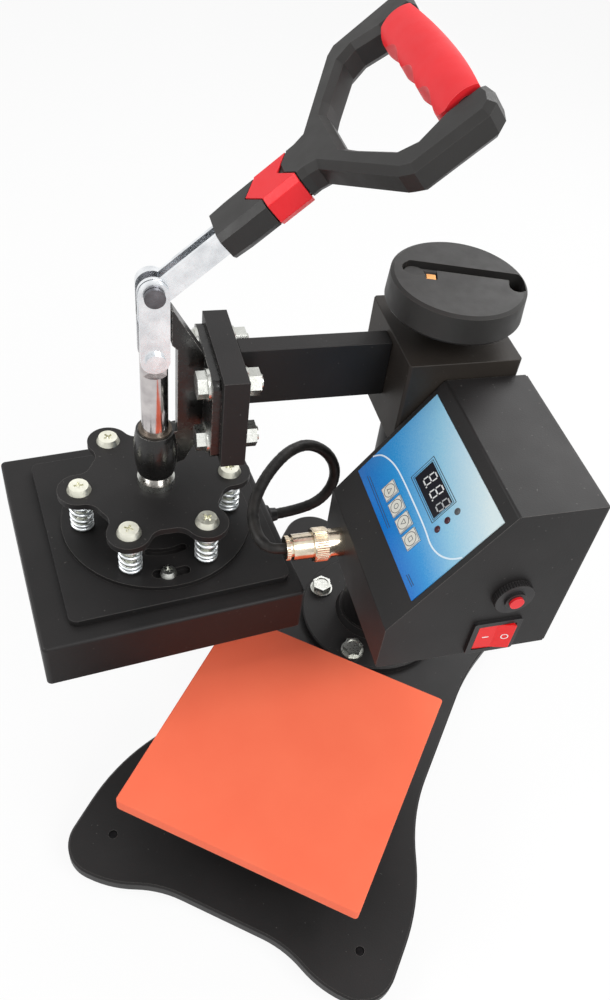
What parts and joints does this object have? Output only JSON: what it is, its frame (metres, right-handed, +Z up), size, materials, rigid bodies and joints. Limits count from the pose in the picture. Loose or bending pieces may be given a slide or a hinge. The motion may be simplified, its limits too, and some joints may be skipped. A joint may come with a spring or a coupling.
{
  "type": "label heat press",
  "caption": "Swing away label heat press: toggle lever drives a sprung heated platen onto a silicone pad, with a side mounted control box and a pressure knob on the column.",
  "frame": {"origin": "centre of the silicone pad's top face", "axes": "X to the operator's right, Y from the operator towards the column, Z up"},
  "size_m": [0.3572, 0.3425, 0.4392],
  "materials": {
    "powder_black": "fine textured black powder coat",
    "housing_black": "textured black powder coat, rubbed brownish on top",
    "bracket_paint": "glossy black paint on a casting, bare at the edges",
    "zinc": "bright zinc plated steel",
    "chromed": "ground and chromed steel",
    "dark_steel": "oiled steel",
    "brass": "turned brass",
    "bronze": "sintered bronze bush",
    "spring_steel": "zinc plated spring wire",
    "silicone": "orange red silicone foam, fine skin",
    "foot_rubber": "black rubber",
    "black_plastic": "moulded black plastic, satin",
    "grip_red": "soft red overmould",
    "collar_red": "moulded red plastic",
    "label_blue": "printed film, blue fading to white",
    "display_dark": "dark display window and lamps",
    "key_grey": "printed film over a dome key",
    "rocker_red": "red gloss plastic",
    "aluminium_cast": "machined aluminium",
    "ptfe": "dark non stick coat",
    "wool": "pressed ceramic wool",
    "board_green": "circuit board",
    "cable_black": "black rubber sheath"
  },
  "bodies": {
    "base": {"base_plate": "powder_black", "rubber_feet": "foot_rubber", "foot_screws": "zinc", "post_flange": "powder_black", "flange_bolts": "zinc", "column_post": "powder_black", "pedestal": "powder_black", "pedestal_screws": "zinc", "lower_platen": "powder_black", "silicone_pad": "silicone"},
    "lift": {"post_bushes": "bronze"},
    "arm": {"column_housing": "housing_black", "arm_beam": "powder_black", "end_plate": "powder_black", "toggle_bracket": "bracket_paint", "bracket_bolts": "zinc", "bracket_nuts": "zinc", "guide_sleeve": "bronze", "pivot_pin": "dark_steel", "control_box": "powder_black", "box_back_cover": "powder_black", "box_screws": "zinc", "label_panel": "label_blue", "display_module": "display_dark", "controller_board": "board_green", "connector_socket": "zinc", "connector_plug": "zinc", "breaker_body": "black_plastic", "rocker_bezel": "black_plastic", "cable_gland": "black_plastic", "heater_cable": "cable_black"},
    "knob": {"knob": "black_plastic", "spindle": "dark_steel", "pivot_block": "brass"},
    "fold": {"fold_handle": "black_plastic"},
    "lever": {"lever_channel": "zinc", "link_pin": "zinc", "handle_socket": "black_plastic", "handle_collar": "collar_red", "handle_frame": "black_plastic", "handle_grip": "grip_red"},
    "link": {"toggle_links": "zinc"},
    "plunger": {"plunger_rod": "chromed", "spider": "powder_black", "spider_nuts": "zinc", "platen_springs": "spring_steel"},
    "hanger": {"slotted_disc": "powder_black", "hanger_screws": "zinc"},
    "heater": {"adapter_plate": "powder_black", "slot_screws": "zinc", "heater_cover": "powder_black", "heating_plate": "aluminium_cast", "insulation_pad": "wool", "heater_gland": "black_plastic"},
    "rocker": {"rocker": "rocker_red"},
    "reset_button": {"reset_button": "rocker_red"},
    "key_up": {"key_up": "key_grey"},
    "key_set": {"key_set": "key_grey"},
    "key_down": {"key_down": "key_grey"},
    "key_stop": {"key_stop": "key_grey"}
  },
  "joints": [
    {"name": "height_adjust", "type": "slide", "parent": "base", "child": "lift", "axis": [0, 0, 1], "range_m": [0, 0.008]},
    {"name": "arm_swing", "type": "hinge", "parent": "lift", "child": "arm", "pos_m": [0, 0.1697, 0.145], "axis": [0, 0, 1], "range_deg": [-38, 52]},
    {"name": "knob_turn", "type": "hinge", "parent": "arm", "child": "knob", "pos_m": [0, 0.1697, 0.2175], "axis": [0, 0, 1], "range_deg": [0, 960.5]},
    {"name": "fold_handle", "type": "hinge", "parent": "knob", "child": "fold", "pos_m": [-0.02409, 0.16409, 0.2289], "axis": [0.3584, -0.9336, 0], "range_deg": [0, 95]},
    {"name": "lever_turn", "type": "hinge", "parent": "arm", "child": "lever", "pos_m": [-0.12931, 0.06867, 0.22], "axis": [0.6157, -0.788, 0], "range_deg": [0, 180]},
    {"name": "link_turn", "type": "hinge", "parent": "lever", "child": "link", "pos_m": [-0.12931, 0.06867, 0.235], "axis": [0.6157, -0.788, 0], "range_deg": [-180, 0]},
    {"name": "plunger_slide", "type": "slide", "parent": "arm", "child": "plunger", "axis": [0, 0, -1], "range_m": [0, 0.03001]},
    {"name": "platen_float", "type": "slide", "parent": "plunger", "child": "hanger", "axis": [0, 0, 1], "range_m": [0, 0.005], "stiffness_N_per_m": 9000, "springref_m": -0.003, "deforming": ["platen_springs"]},
    {"name": "platen_turn", "type": "hinge", "parent": "hanger", "child": "heater", "pos_m": [-0.12931, 0.06867, 0.0653], "axis": [0, 0, 1], "range_deg": [-7, 11]},
    {"name": "power_rocker", "type": "hinge", "parent": "arm", "child": "rocker", "pos_m": [0.08645, 0.06148, 0.096], "axis": [0, 0, 1], "range_deg": [0, 14]},
    {"name": "reset_press", "type": "slide", "parent": "arm", "child": "reset_button", "axis": [-0.6157, 0.788, 0], "range_m": [0, 0.0025], "stiffness_N_per_m": 600},
    {"name": "key_up_press", "type": "slide", "parent": "arm", "child": "key_up", "axis": [0.6459, 0.5046, -0.5728], "range_m": [0, 0.0005], "stiffness_N_per_m": 800},
    {"name": "key_set_press", "type": "slide", "parent": "arm", "child": "key_set", "axis": [0.6459, 0.5046, -0.5728], "range_m": [0, 0.0005], "stiffness_N_per_m": 800},
    {"name": "key_down_press", "type": "slide", "parent": "arm", "child": "key_down", "axis": [0.6459, 0.5046, -0.5728], "range_m": [0, 0.0005], "stiffness_N_per_m": 800},
    {"name": "key_stop_press", "type": "slide", "parent": "arm", "child": "key_stop", "axis": [0.6459, 0.5046, -0.5728], "range_m": [0, 0.0005], "stiffness_N_per_m": 800}
  ],
  "couplings": [
    {"joint": "knob_turn", "follows": "height_adjust", "rad_per_m": 2094.4},
    {"joint": "link_turn", "follows": "lever_turn", "ratio": -1},
    {"joint": "plunger_slide", "follows": "lever_turn", "m_per_rad": 0.0095493}
  ]
}
